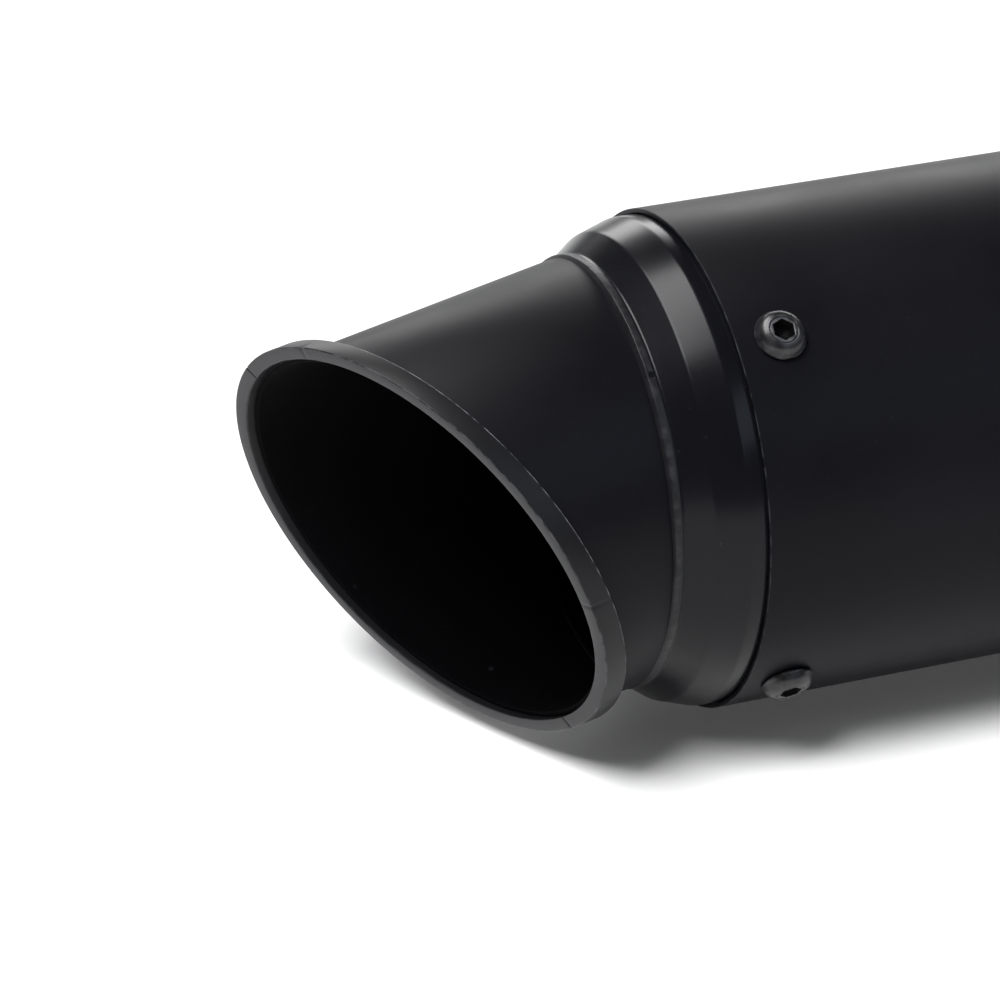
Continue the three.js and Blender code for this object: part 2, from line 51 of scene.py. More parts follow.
sleeve_low, sleeve_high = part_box("sleeve")
AXIS_Y = (sleeve_low.y + sleeve_high.y) / 2
AXIS_Z = (sleeve_low.z + sleeve_high.z) / 2
SLEEVE_RADIUS = (sleeve_high.z - sleeve_low.z) / 2
OUTLET_EDGE = sleeve_low.x
INLET_EDGE = sleeve_high.x

TIP_CLOCK = math.radians(129)  # the way the tip droops and the slash faces, from +Z towards -Y
TIP_DROOP = math.radians(12)
SLASH_ANGLE = math.radians(19.7)
TIP_LENGTH = 40 * MM
TIP_RADIUS = 42.4 * MM
TIP_WALL = 1.2 * MM
BAND_WIDTH = 4.4 * MM
BAND_THICKNESS = 2.6 * MM


def at_axis(x):
    return Vector((x, AXIS_Y, AXIS_Z))


def clock_direction(clock):
    return Vector((0, -math.sin(clock), math.cos(clock)))


# ---------------------------------------------------------------- mesh building

def add_object(name, mesh):
    obj = bpy.data.objects.new(name, mesh)
    bpy.context.scene.collection.objects.link(obj)
    return obj


def ring_angles(count=AROUND):
    return np.linspace(0, 2 * np.pi, count, endpoint=False)


def mesh_from_stations(name, stations, edges=None, capped=False):
    """A closed mesh through rings of points. Without caps, the last ring joins the first.
    An edge value, for a whole ring or for each of its points, says how far its paint is rubbed; at the outlet
    neck's lip it says how bright a painted highlight is."""
    count = len(stations[0])
    rings = len(stations)
    points = np.concatenate(stations)
    faces = []
    for i in range(rings if not capped else rings - 1):
        a, b = i * count, ((i + 1) % rings) * count
        for k in range(count):
            k1 = (k + 1) % count
            faces.append((a + k, a + k1, b + k1, b + k))
    if capped:
        faces.append(tuple(range(count - 1, -1, -1)))
        faces.append(tuple((rings - 1) * count + k for k in range(count)))
    mesh = bpy.data.meshes.new(name)
    mesh.from_pydata([tuple(p) for p in points], [], faces)
    mesh.validate()
    mesh.update()
    volume = signed_volume(mesh)
    if volume < 0:
        mesh.flip_normals()
    for polygon in mesh.polygons:
        polygon.use_smooth = True
    if edges is not None:
        attribute = mesh.attributes.new("edge", "FLOAT", "POINT")
        values = np.concatenate([np.broadcast_to(edge, count) for edge in edges])
        attribute.data.foreach_set("value", values.astype(np.float32))
    obj = add_object(name, mesh)
    obj["rings"] = rings
    return obj


def signed_volume(mesh):
    mesh.calc_loop_triangles()
    co = np.array([v.co for v in mesh.vertices], float)
    tri = np.array([t.vertices for t in mesh.loop_triangles])
    a, b, c = co[tri[:, 0]], co[tri[:, 1]], co[tri[:, 2]]
    return float(np.einsum("ij,ij->i", a, np.cross(b, c)).sum() / 6)


LONGEST_CUT = 0.49  # of a side, that rounding its corner may take
ROUND_STEPS = 4


def rounded(corners, radius):
    """A closed outline with its corners rounded, and for each point how much of an edge it is."""
    points, edges = [], []
    count = len(corners)
    for i in range(count):
        before, corner, after = (np.array(corners[j % count], float) for j in (i - 1, i, i + 1))
        back, forth = before - corner, after - corner
        back_length, forth_length = np.linalg.norm(back), np.linalg.norm(forth)
        back, forth = back / back_length, forth / forth_length
        half = math.acos(np.clip(back @ forth, -1, 1)) / 2
        reach = min(radius / math.tan(half), back_length * LONGEST_CUT, forth_length * LONGEST_CUT)
        towards = (back + forth) / np.linalg.norm(back + forth)
        centre = corner + towards * reach * math.tan(half) / math.sin(half)
        start, end = corner + back * reach - centre, corner + forth * reach - centre
        sweep = math.pi - 2 * half
        for k in range(ROUND_STEPS + 1):
            t = k / ROUND_STEPS
            mix = (math.sin((1 - t) * sweep) * start + math.sin(t * sweep) * end) / math.sin(sweep)
            points.append(centre + mix)
            edges.append(math.sin(math.pi * t))
    return points, edges


def turned(name, outline, edges=None):
    """A solid of revolution about the can's axis, from closed [x, radius] points in metres."""
    angles = ring_angles()
    sines, cosines = np.sin(angles), np.cos(angles)
    stations = [
        np.stack([np.full(AROUND, x), AXIS_Y - r * sines, AXIS_Z + r * cosines], 1) for x, r in outline
    ]
    return mesh_from_stations(name, stations, edges)


# ---------------------------------------------------------------- the tip's slanted rings

OUTWARD = Vector((-1, 0, 0))
DROOP_WAY = clock_direction(TIP_CLOCK)


def leaned(angle):
    return OUTWARD * math.cos(angle) + DROOP_WAY * math.sin(angle)


tip_axis = leaned(TIP_DROOP)
tip_side = DROOP_WAY * math.cos(TIP_DROOP) - OUTWARD * math.sin(TIP_DROOP)
tip_across = tip_axis.cross(tip_side)
slash_normal = leaned(TIP_DROOP + SLASH_ANGLE)
tip_root_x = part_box("outlet_tip")[1].x
tip_root = at_axis(tip_root_x)
slash_centre = tip_root + tip_axis * TIP_LENGTH


def slanted_ring(radius, plane_point, plane_normal, offset=0.0, angles=None):
    """Points at a radius from the tip's axis, where they meet a plane moved along its normal."""
    angles = ring_angles() if angles is None else angles
    aim = np.outer(np.cos(angles), tip_side) + np.outer(np.sin(angles), tip_across)
    normal = np.array(plane_normal)
    base = np.array(tip_root) + np.reshape(radius, (-1, 1)) * aim
    reach = ((np.array(plane_point) - base) @ normal + offset) / (np.array(tip_axis) @ normal)
    return base + np.outer(reach, np.array(tip_axis))


def behind_slash(radius, depth, angles=None):
    return slanted_ring(radius, slash_centre, slash_normal, -depth, angles)


def before_root(radius, depth, angles=None):
    return slanted_ring(radius, tip_root, OUTWARD, depth, angles)


def smooth_step(low, high, value):
    t = np.clip((value - low) / (high - low), 0, 1)
    return t * t * (3 - 2 * t)


def give_inside(piece, material, first_ring):
    """The faces from a ring on take a second material, such as the soot inside a tube."""
    count = len(piece.data.vertices) // piece["rings"]
    piece.data.materials.append(material)
    for polygon in piece.data.polygons:
        if polygon.index // count >= first_ring:
            polygon.material_index = 1


# ---------------------------------------------------------------- materials

def new_material(name):
    material = bpy.data.materials.new(name)
    material.use_nodes = True
    nodes, links = material.node_tree.nodes, material.node_tree.links
    return material, nodes, links, nodes["Principled BSDF"]


def add_noise(nodes, links, coordinates, scale, detail=4.0, roughness=0.55):
    noise = nodes.new("ShaderNodeTexNoise")
    noise.inputs["Scale"].default_value = scale
    noise.inputs["Detail"].default_value = detail
    noise.inputs["Roughness"].default_value = roughness
    links.new(coordinates, noise.inputs["Vector"])
    return noise.outputs["Fac"]


def remap(nodes, links, value, low, high, from_low=0.3, from_high=0.7):
    node = nodes.new("ShaderNodeMapRange")
    node.inputs["From Min"].default_value = from_low
    node.inputs["From Max"].default_value = from_high
    node.inputs["To Min"].default_value = low
    node.inputs["To Max"].default_value = high
    links.new(value, node.inputs["Value"])
    return node.outputs["Result"]


def add_bump(nodes, links, shader, height, strength, distance):
    bump = nodes.new("ShaderNodeBump")
    bump.inputs["Strength"].default_value = strength
    bump.inputs["Distance"].default_value = distance
    links.new(height, bump.inputs["Height"])
    links.new(bump.outputs["Normal"], shader.inputs["Normal"])


def mix_colours(nodes, links, factor, first, second):
    node = nodes.new("ShaderNodeMix")
    node.data_type = "RGBA"
    for socket, value in ((node.inputs[6], first), (node.inputs[7], second)):
        if isinstance(value, bpy.types.NodeSocket):
            links.new(value, socket)
        else:
            socket.default_value = (*value, 1)
    links.new(factor, node.inputs[0])
    return node.outputs[2]


def multiply(nodes, links, first, second):
    node = nodes.new("ShaderNodeMath")
    node.operation = "MULTIPLY"
    for socket, value in zip(node.inputs, (first, second)):
        if isinstance(value, bpy.types.NodeSocket):
            links.new(value, socket)
        else:
            socket.default_value = value
    return node.outputs[0]


CLOUD_SCALE = 28  # slow changes of colour and gloss, per metre
PATCH_SCALE = 420  # where edges are rubbed and where they aren't, and where the painted highlight on the outlet neck's lip breaks up
DUST_COLOUR = (0.05, 0.052, 0.058)
DUST_SHARE = 0.12
GLOSS_CHANGE = 0.05
GRAIN_HEIGHT = 0.05 * MM


def painted(name, colour, tint, roughness, grain, grain_scale, wear_and_highlight=None, specular=0.5):
    """Black paint on metal: slow colour and gloss changes, a fine grain, and edges that are rubbed lighter;
    the same edge colour also paints the highlight on the outlet neck's lip.
    """
    material, nodes, links, shader = new_material(name)
    place = nodes.new("ShaderNodeTexCoord").outputs["Object"]
    cloud = add_noise(nodes, links, place, CLOUD_SCALE, 5)
    fine = add_noise(nodes, links, place, grain_scale, 3, 0.6)
    speck = add_noise(nodes, links, place, grain_scale * 0.35, 4, 0.7)
    shade = mix_colours(nodes, links, remap(nodes, links, cloud, 0, 1), colour, tint)
    dust = remap(nodes, links, speck, 0, 1, 0.66, 0.76)
    shade = mix_colours(nodes, links, multiply(nodes, links, dust, DUST_SHARE), shade, DUST_COLOUR)
    gloss = remap(nodes, links, cloud, roughness - GLOSS_CHANGE, roughness + GLOSS_CHANGE)
    if wear_and_highlight is not None:
        edge = nodes.new("ShaderNodeAttribute")
        edge.attribute_name = "edge"
        patch = remap(nodes, links, add_noise(nodes, links, place, PATCH_SCALE, 4), 0, 1, 0.42, 0.62)
        rub_and_highlight = multiply(nodes, links, edge.outputs["Fac"], patch)
        shade = mix_colours(nodes, links, rub_and_highlight, shade, wear_and_highlight)
    links.new(shade, shader.inputs["Base Color"])
    links.new(gloss, shader.inputs["Roughness"])
    shader.inputs["Specular IOR Level"].default_value = specular
    add_bump(nodes, links, shader, fine, grain, GRAIN_HEIGHT)
    return material


def steel(name, colour, roughness, brushed):
    """Bare stainless steel with brush marks along one way and faint staining."""
    material, nodes, links, shader = new_material(name)
    place = nodes.new("ShaderNodeTexCoord").outputs["Object"]
    mapping = nodes.new("ShaderNodeMapping")
    mapping.inputs["Scale"].default_value = brushed
    links.new(place, mapping.inputs["Vector"])
    marks = add_noise(nodes, links, mapping.outputs["Vector"], 300, 5, 0.7)
    stain = add_noise(nodes, links, place, 40, 5)
    darker = tuple(c * 0.72 for c in colour)
    shade = mix_colours(nodes, links, remap(nodes, links, stain, 0, 1), colour, darker)
    links.new(shade, shader.inputs["Base Color"])
    links.new(remap(nodes, links, marks, roughness - 0.08, roughness + 0.12), shader.inputs["Roughness"])
    shader.inputs["Metallic"].default_value = 1.0
    add_bump(nodes, links, shader, marks, 0.25, 0.04 * MM)
    return material


def rubber(name):
    material, nodes, links, shader = new_material(name)
    place = nodes.new("ShaderNodeTexCoord").outputs["Object"]
    cloud = add_noise(nodes, links, place, 60, 4)
    fine = add_noise(nodes, links, place, 2600, 3)
    dark, pale = (0.016, 0.016, 0.016), (0.026, 0.025, 0.024)
    shade = mix_colours(nodes, links, remap(nodes, links, cloud, 0, 1), dark, pale)
    links.new(shade, shader.inputs["Base Color"])
    links.new(remap(nodes, links, cloud, 0.72, 0.88), shader.inputs["Roughness"])
    add_bump(nodes, links, shader, fine, 0.35, 0.1 * MM)
    return material


def glass_wool(name):
    material, nodes, links, shader = new_material(name)
    place = nodes.new("ShaderNodeTexCoord").outputs["Object"]
    mapping = nodes.new("ShaderNodeMapping")
    mapping.inputs["Scale"].default_value = (6, 1, 1)
    links.new(place, mapping.inputs["Vector"])
    fibre = add_noise(nodes, links, mapping.outputs["Vector"], 500, 6, 0.75)
    shade = mix_colours(nodes, links, remap(nodes, links, fibre, 0, 1), (0.62, 0.5, 0.2), (0.4, 0.3, 0.1))
    links.new(shade, shader.inputs["Base Color"])
    shader.inputs["Roughness"].default_value = 0.95
    add_bump(nodes, links, shader, fibre, 0.8, 0.8 * MM)
    return material


sleeve_paint = painted("sleeve_paint", (0.003, 0.003, 0.0042), (0.0042, 0.0042, 0.0058), 0.42, 0.22, 1700,
                       wear_and_highlight=(0.03, 0.03, 0.033), specular=0.085)
# The cap's lighter edge colour is rubbed paint on the inlet collar, and a painted highlight on the outlet
# neck's lip.
cap_paint = painted("cap_paint", (0.003, 0.003, 0.0042), (0.0044, 0.0045, 0.0062), 0.24, 0.12, 1900,
                    wear_and_highlight=(0.09, 0.09, 0.1), specular=0.17)
tip_paint = painted("tip_paint", (0.003, 0.003, 0.0042), (0.0044, 0.0044, 0.006), 0.44, 0.35, 2400,
                    wear_and_highlight=(0.2, 0.2, 0.22), specular=0.1)
rim_paint = painted("rim_paint", (0.004, 0.004, 0.005), (0.007, 0.007, 0.008), 0.4, 0.35, 2000,
                    wear_and_highlight=(0.3, 0.3, 0.33), specular=0.2)
rim_face_paint = painted("rim_face_paint", (0.01, 0.01, 0.0115), (0.018, 0.018, 0.0205), 0.42, 0.5, 1500,
                         wear_and_highlight=(0.25, 0.25, 0.27), specular=0.26)
soot = painted("soot", (0.0008, 0.0008, 0.001), (0.0016, 0.0016, 0.002), 0.85, 0.5, 900, specular=0.05)
weld_paint = painted("weld_paint", (0.005, 0.005, 0.006), (0.011, 0.011, 0.013), 0.42, 0.6, 900,
                     wear_and_highlight=(0.12, 0.12, 0.13), specular=0.2)
screw_black = painted("screw_black", (0.005, 0.005, 0.0055), (0.009, 0.009, 0.01), 0.32, 0.25, 2600,
                      wear_and_highlight=(0.1, 0.1, 0.11), specular=0.45)
# Darker, duller paint for inside the hex socket: painted shade in the recess.
socket_painted_shade = painted("socket_painted_shade", (0.001, 0.001, 0.0012), (0.002, 0.002, 0.0024), 0.6, 0.3, 2600,
                       specular=0.1)
strap_paint = painted("strap_paint", (0.006, 0.006, 0.007), (0.011, 0.011, 0.013), 0.42, 0.4, 1500,
                      wear_and_highlight=(0.1, 0.1, 0.11), specular=0.3)
bare_steel = steel("bare_steel", (0.5, 0.5, 0.51), 0.32, (8, 1, 1))
pipe_steel = steel("pipe_steel", (0.52, 0.5, 0.48), 0.28, (12, 1, 1))
liner_rubber = rubber("liner_rubber")
wool = glass_wool("wool")


def finish_piece(piece, material, body, slot, *nodes):
    if material is not None:
        piece.data.materials.append(material)
    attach(piece, body)
    if nodes:
        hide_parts(*nodes)
    return piece


# ---------------------------------------------------------------- sleeve

SLEEVE_WALL = 1.0 * MM
SHEET_EDGE = 0.22 * MM  # rounding of a cut sheet edge


def make_sleeve():
    inner = SLEEVE_RADIUS - SLEEVE_WALL
    corners = [(OUTLET_EDGE, SLEEVE_RADIUS), (INLET_EDGE, SLEEVE_RADIUS),
               (INLET_EDGE, inner), (OUTLET_EDGE, inner)]
    outline, edges = rounded(corners, SHEET_EDGE)
    return turned("sleeve_shell", outline, edges)


finish_piece(make_sleeve(), sleeve_paint, "can", "sleeve_black", "sleeve")

# ---------------------------------------------------------------- end caps

CAP_WALL = 1.2 * MM
CAP_FLANGE_DEPTH = 24 * MM
CAP_GAP = 0.1 * MM
CAP_LAND = 3.0 * MM
FIRST_BEND = (math.radians(18), 2.5 * MM)
OUTLET_BEND = (math.radians(37), 2 * MM)
INLET_BEND = (math.radians(52), 4 * MM)
OUTLET_NECK_FILLET = 1 * MM
INLET_NECK_FILLET = 8 * MM
BEND_STEPS = 12
FLANGE_RADIUS = SLEEVE_RADIUS - SLEEVE_WALL - CAP_GAP
NECK_RADIUS = TIP_RADIUS / math.cos(TIP_DROOP) + 0.25 * MM
NECK_LIP = 0.12 * MM
COLLAR_RADIUS = 28.5 * MM
COLLAR_LENGTH = 4 * MM


def pressed_sheet(neck_radius, neck_reach, second_bend, fillet):
    """[reach, radius, slope] along a pressed cap: a land, a cone, a steeper cone and a hollow fillet."""
    (first, first_radius), (second, second_radius) = FIRST_BEND, second_bend
    bends_reach = first_radius * math.sin(first) + second_radius * (math.sin(second) - math.sin(first))
    bends_drop = first_radius * (1 - math.cos(first)) + second_radius * (math.cos(first) - math.cos(second))
    cones_reach = neck_reach - CAP_LAND - bends_reach - fillet * math.sin(second)
    cones_drop = FLANGE_RADIUS - neck_radius - bends_drop - fillet * (1 - math.cos(second))
    slopes = [[math.cos(first), math.cos(second)], [math.sin(first), math.sin(second)]]
    cone, steep_cone = np.linalg.solve(slopes, [cones_reach, cones_drop])

    points = [(-CAP_FLANGE_DEPTH, FLANGE_RADIUS, 0.0)]
    x, r = CAP_LAND, FLANGE_RADIUS
    # each bend: from one slope to another, round a radius, and the straight that follows it
    bends = [(0, first, first_radius, cone), (first, second, second_radius, steep_cone),
             (second, 0, -fillet, 0)]
    for start, end, radius, straight in bends:
        centre = (x - radius * math.sin(start), r - radius * math.cos(start))
        for i in range(BEND_STEPS + 1):
            slope = start + (end - start) * i / BEND_STEPS
            points.append((centre[0] + radius * math.sin(slope), centre[1] + radius * math.cos(slope), slope))
        x = points[-1][0] + straight * math.cos(end)
        r = points[-1][1] - straight * math.sin(end)
    return points


def both_faces(sheet):
    """The sheet's outside, and its inside one wall further in."""
    outside = [(x, r) for x, r, slope in sheet]
    inside = [(x - CAP_WALL * math.sin(slope), r - CAP_WALL * math.cos(slope)) for x, r, slope in sheet]
    return outside, inside


LEAST_HIGHLIGHT = 0.12


def seam_painted_highlight(clock):
    """How bright the painted highlight on the neck's lip is, most of all between the clock angles 18 and 44
    degrees, where the light catches the lip.
    """
    painted_highlight = smooth_step(-15, 18, clock) * (1 - smooth_step(44, 62, clock))
    return LEAST_HIGHLIGHT + (1 - LEAST_HIGHLIGHT) * painted_highlight


def make_outlet_cap():
    neck_reach = OUTLET_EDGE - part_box("outlet_cap")[0].x
    outside, inside = both_faces(pressed_sheet(NECK_RADIUS, neck_reach, OUTLET_BEND, OUTLET_NECK_FILLET))
    # the neck runs on to the tip, under the weld
    seam = OUTLET_EDGE - tip_root_x
    # a painted highlight: the neck's lip is coloured lighter round the clock angles where the light catches
    # it
    painted_highlight = seam_painted_highlight(np.degrees((ring_angles() + math.pi) % (2 * math.pi) - math.pi))
    outside += [(seam - reach, NECK_RADIUS) for reach in (2.5 * NECK_LIP, NECK_LIP)]
    outside.append((seam, NECK_RADIUS - NECK_LIP))
    edges = [0.0] * (len(outside) - 2) + [painted_highlight, painted_highlight]
    first_inner = len(outside)
    inside.append((seam, NECK_RADIUS - CAP_WALL))
    outline = [(OUTLET_EDGE - reach, radius) for reach, radius in outside + inside[::-1]]
    cap = turned("outlet_cap_shell", outline, edges + [0.0] * len(inside))
    cap.data.materials.append(cap_paint)
    give_inside(cap, soot, first_inner)
    return cap


def make_inlet_cap():
    neck_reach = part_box("inlet_cap")[1].x - INLET_EDGE - COLLAR_LENGTH
    outside, inside = both_faces(pressed_sheet(COLLAR_RADIUS, neck_reach, INLET_BEND, INLET_NECK_FILLET))
    collar_end = neck_reach + COLLAR_LENGTH
    outside += [(collar_end - 2 * NECK_LIP, COLLAR_RADIUS), (collar_end, COLLAR_RADIUS - 2 * NECK_LIP)]
    inside.append((collar_end, COLLAR_RADIUS - CAP_WALL))
    outline = [(INLET_EDGE + reach, radius) for reach, radius in outside + inside[::-1]]
    edges = [0.0] * (len(outside) - 1) + [0.8] + [0.0] * len(inside)
    return turned("inlet_cap_shell", outline, edges)


finish_piece(make_outlet_cap(), None, "can", "cap_black", "outlet_cap")
finish_piece(make_inlet_cap(), cap_paint, "can", "cap_black", "inlet_cap")

# ---------------------------------------------------------------- tip and rim band

TIP_SETBACK = 1.5 * MM
TIP_ROOT_EDGE = 0.1 * MM
TIP_EDGE = 0.3 * MM
BAND_EDGE = 0.3 * MM
BAND_GAP = 0.05 * MM  # between the tip and the band
BAND_SEAT = 0.3 * MM  # how far out the band's thickness starts
BAND_AROUND = 1080
BAND_JOINTS = (173.5, 342)  # degrees round the mouth from the droop, where the band's ends meet
BAND_NICKS = (40, 144)
JOINT_WIDTH = 0.28  # degrees
JOINT_DEPTH = 0.22 * MM
FRONT_SHINE, BACK_SHINE, INNER_SHINE = 0.16, 0.75, 0.3
FACING = 0.9  # a face this square to the mouth is part of the band's front


def make_tip():
    outer, inner = TIP_RADIUS, TIP_RADIUS - TIP_WALL
    stations = []
    turn = np.linspace(0, math.pi / 2, 4)
    for t in turn:  # the rear edge of the outside
        depth = TIP_ROOT_EDGE * (1 - math.cos(t))
        stations.append(before_root(outer - TIP_ROOT_EDGE * (1 - math.sin(t)), depth))
    for t in turn:  # the front edge of the outside
        depth = TIP_SETBACK + TIP_EDGE * (1 - math.sin(t))
        stations.append(behind_slash(outer - TIP_EDGE * (1 - math.cos(t)), depth))
    first_inner = len(stations) - 1
    for t in turn:
        depth = TIP_SETBACK + TIP_EDGE * (1 - math.cos(t))
        stations.append(behind_slash(inner + TIP_EDGE * (1 - math.sin(t)), depth))
    for t in turn:
        depth = TIP_ROOT_EDGE * (1 - math.sin(t))
        stations.append(before_root(inner + TIP_ROOT_EDGE * (1 - math.cos(t)), depth))
    tip = mesh_from_stations("tip_tube", stations, [0.0] * len(stations))
    tip.data.materials.append(tip_paint)
    give_inside(tip, soot, first_inner)
    return tip


def dents(angles, places, width):
    """How deep each point round the mouth lies in one of the dents, from 0 to 1."""
    away = [(np.degrees(angles) - place + 180) % 360 - 180 for place in places]
    return sum(np.exp(-((a / width) ** 2)) for a in away)


def make_band():
    inner = TIP_RADIUS + BAND_GAP
    outer = TIP_RADIUS + BAND_SEAT + BAND_THICKNESS
    corners = [(0, inner), (0, outer), (BAND_WIDTH, outer), (BAND_WIDTH, inner)]
    outline, edges = rounded(corners, BAND_EDGE)
    angles = ring_angles(BAND_AROUND)
    joint = dents(angles, BAND_JOINTS, JOINT_WIDTH)
    nick = dents(angles, BAND_NICKS, 2 * JOINT_WIDTH)
    stations, shines = [], []
    for (depth, radius), edge in zip(outline, edges):
        front = depth < BAND_WIDTH / 2
        outside = radius > (inner + outer) / 2
        cut = JOINT_DEPTH * (joint + (nick if front and outside else 0))
        moved = radius - cut if outside else radius
        stations.append(behind_slash(moved, depth + (cut if front else 0), angles))
        shines.append(edge * (FRONT_SHINE if front else BACK_SHINE) * (1 if outside else INNER_SHINE))
    return mesh_from_stations("rim_band", stations, shines)


def give_front_face(band):
    """The band's flat front face is coloured lighter than its outside."""
    band.data.materials.append(rim_face_paint)
    for polygon in band.data.polygons:
        if polygon.normal @ slash_normal > FACING:
            polygon.material_index = 1


rim_band = make_band()
finish_piece(make_tip(), None, "can", "tip_black", "outlet_tip")
finish_piece(rim_band, rim_paint, "can", "tip_black", "tip_band")
give_front_face(rim_band)

WELD_AROUND = 1200
WELD_STEPS = 14
WELD_ON_TIP = 0.5 * MM
WELD_CROWN = 0.13 * MM
WELD_SUNK = 1.0 * MM
WELD_SHINE = 0.1
RIPPLES = 150  # fine ones, round the tip
RIPPLE_HEIGHT = 0.012 * MM
UNEVEN = 0.03 * MM  # slow changes in the bead's height
LIP_AT = 0.72  # how far across the bead the neck's lip is
PIT_CLOCK, PIT_ACROSS = 39.5, 0.35
PIT_SIZE = (0.9, 0.2)  # in degrees of clock, and across the bead
PIT_DEPTH = 0.3 * MM


def make_weld():
    """The dressed bead that covers the neck's end and runs a little way on to the tip."""
    angles = ring_angles(WELD_AROUND)
    clocks = TIP_CLOCK - angles
    out = np.stack([np.zeros(WELD_AROUND), -np.sin(clocks), np.cos(clocks)], 1)
    back = np.array(at_axis(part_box("outlet_cap")[0].x)) + out * NECK_RADIUS
    lip = np.array(at_axis(tip_root_x)) + out * NECK_RADIUS
    front = before_root(TIP_RADIUS - 0.02 * MM, WELD_ON_TIP, angles)
    pit_away = (np.degrees(clocks) - PIT_CLOCK + 180) % 360 - 180
    ripple = RIPPLE_HEIGHT * np.sin(RIPPLES * angles)
    ripple += UNEVEN * np.sin(47 * angles + 1.3) * np.sin(13 * angles)
    stations, edges = [back - out * WELD_SUNK], [0.0]
    for t in np.linspace(0, 1, WELD_STEPS + 1):
        along_neck, along_tip = min(t / LIP_AT, 1), max((t - LIP_AT) / (1 - LIP_AT), 0)
        base = back + (lip - back) * along_neck + (front - lip) * along_tip
        crown = math.sin(math.pi * t)
        pit = PIT_DEPTH * np.exp(-(pit_away / PIT_SIZE[0]) ** 2 - ((t - PIT_ACROSS) / PIT_SIZE[1]) ** 2)
        lift = crown * (WELD_CROWN + ripple) - pit
        stations.append(base + out * lift[:, None])
        edges.append(WELD_SHINE * crown)
    stations.append(front - out * WELD_SUNK)
    edges.append(0.0)
    return mesh_from_stations("weld_bead", stations, edges)


finish_piece(make_weld(), weld_paint, "can", "weld", "tip_weld")

# ---------------------------------------------------------------- screws

HEAD_RADIUS = 5.25 * MM
HEAD_HEIGHT = 2.9 * MM
FLAT_RADIUS = 3.05 * MM
LIP_RADIUS = 2.6 * MM
GROOVE_DEPTH = 0.28 * MM
SOCKET_APOTHEM = 2.0 * MM
SOCKET_DEPTH = 2.0 * MM
SHANK_RADIUS = 3.0 * MM
CENTRE_RADIUS = 0.02 * MM  # a ring this small stands for a point
SCREW_AROUND = 72
DOME_RINGS = 9
SCREW_LENGTH = 10 * MM
SCREW_SEAT = 0.12 * MM  # over the sleeve


def make_screw(name, seat, out, length):
    """A button-head screw whose head sits at seat and points along out."""
    angles = ring_angles(SCREW_AROUND)
    side = out.orthogonal().normalized()
    across = out.cross(side)
    aim = np.outer(np.cos(angles), side) + np.outer(np.sin(angles), across)
    hexagon = 1 / np.cos((angles + math.pi / 6) % (math.pi / 3) - math.pi / 6)
    # each ring: radius, height, how six-sided it is, how worn it is
    profile = [(CENTRE_RADIUS, -length, 0, 0), (SHANK_RADIUS - 0.5 * MM, -length, 0, 0),
               (SHANK_RADIUS, -length + 0.5 * MM, 0, 0), (SHANK_RADIUS, 0, 0, 0),
               (HEAD_RADIUS - 0.25 * MM, 0, 0, 0), (HEAD_RADIUS - 0.05 * MM, 0.08 * MM, 0, 0.2),
               (HEAD_RADIUS, 0.3 * MM, 0, 0.3), (HEAD_RADIUS - 0.06 * MM, 0.62 * MM, 0, 0.4)]
    dome_start = (HEAD_RADIUS - 0.2 * MM, 0.85 * MM)
    dome_pull = (HEAD_RADIUS - 0.7 * MM, HEAD_HEIGHT - 0.45 * MM)
    dome_end = (FLAT_RADIUS + 0.1 * MM, HEAD_HEIGHT - 0.05 * MM)
    for t in np.linspace(0, 1, DOME_RINGS):
        r, z = ((1 - t) ** 2 * a + 2 * t * (1 - t) * b + t * t * c
                for a, b, c in zip(dome_start, dome_pull, dome_end))
        profile.append((r, z, 0, 0.1))
    groove = HEAD_HEIGHT - GROOVE_DEPTH
    profile += [(FLAT_RADIUS, HEAD_HEIGHT, 0, 0.7),
                (FLAT_RADIUS - 0.08 * MM, HEAD_HEIGHT - 0.04 * MM, 0, 0.5),
                (FLAT_RADIUS - 0.15 * MM, groove, 0, 0), (LIP_RADIUS + 0.12 * MM, groove, 0, 0),
                (LIP_RADIUS, HEAD_HEIGHT - 0.05 * MM, 0.2, 0.6),
                (LIP_RADIUS - 0.1 * MM, HEAD_HEIGHT, 0.4, 0.6),
                (SOCKET_APOTHEM + 0.12 * MM, HEAD_HEIGHT - 0.02 * MM, 1, 0.5)]
    first_inner = len(profile)
    profile += [(SOCKET_APOTHEM, HEAD_HEIGHT - 0.15 * MM, 1, 0.1),
                (SOCKET_APOTHEM, HEAD_HEIGHT - SOCKET_DEPTH, 1, 0),
                (CENTRE_RADIUS, HEAD_HEIGHT - SOCKET_DEPTH - 0.7 * MM, 0, 0)]
    stations, edges = [], []
    for radius, height, six_sided, edge in profile:
        shape = (1 - six_sided) + hexagon * six_sided
        stations.append(np.array(seat) + (radius * shape)[:, None] * aim + height * np.array(out))
        edges.append(edge)
    screw = mesh_from_stations(name, stations, edges, capped=True)
    screw.data.materials.append(screw_black)
    # the socket's inside takes the painted shade
    give_inside(screw, socket_painted_shade, first_inner)
    return screw


def screw_row(end, x):
    for i in range(4):
        clock = TIP_CLOCK + i * math.pi / 2
        out = clock_direction(clock)
        node = f"{end}_screw_{i + 1}"
        seat = at_axis(x) + out * (SLEEVE_RADIUS + SCREW_SEAT)
        screw = make_screw(f"{end}_button_screw_{i + 1}", seat, out, SCREW_LENGTH)
        finish_piece(screw, None, "can", "screw_black", node)


def middle(node):
    low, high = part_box(node)
    return (low + high) / 2


screw_row("outlet", middle("outlet_nut_1").x)
screw_row("inlet", middle("inlet_nut_1").x)

# ---------------------------------------------------------------- CAD nodes that stay, with their finish

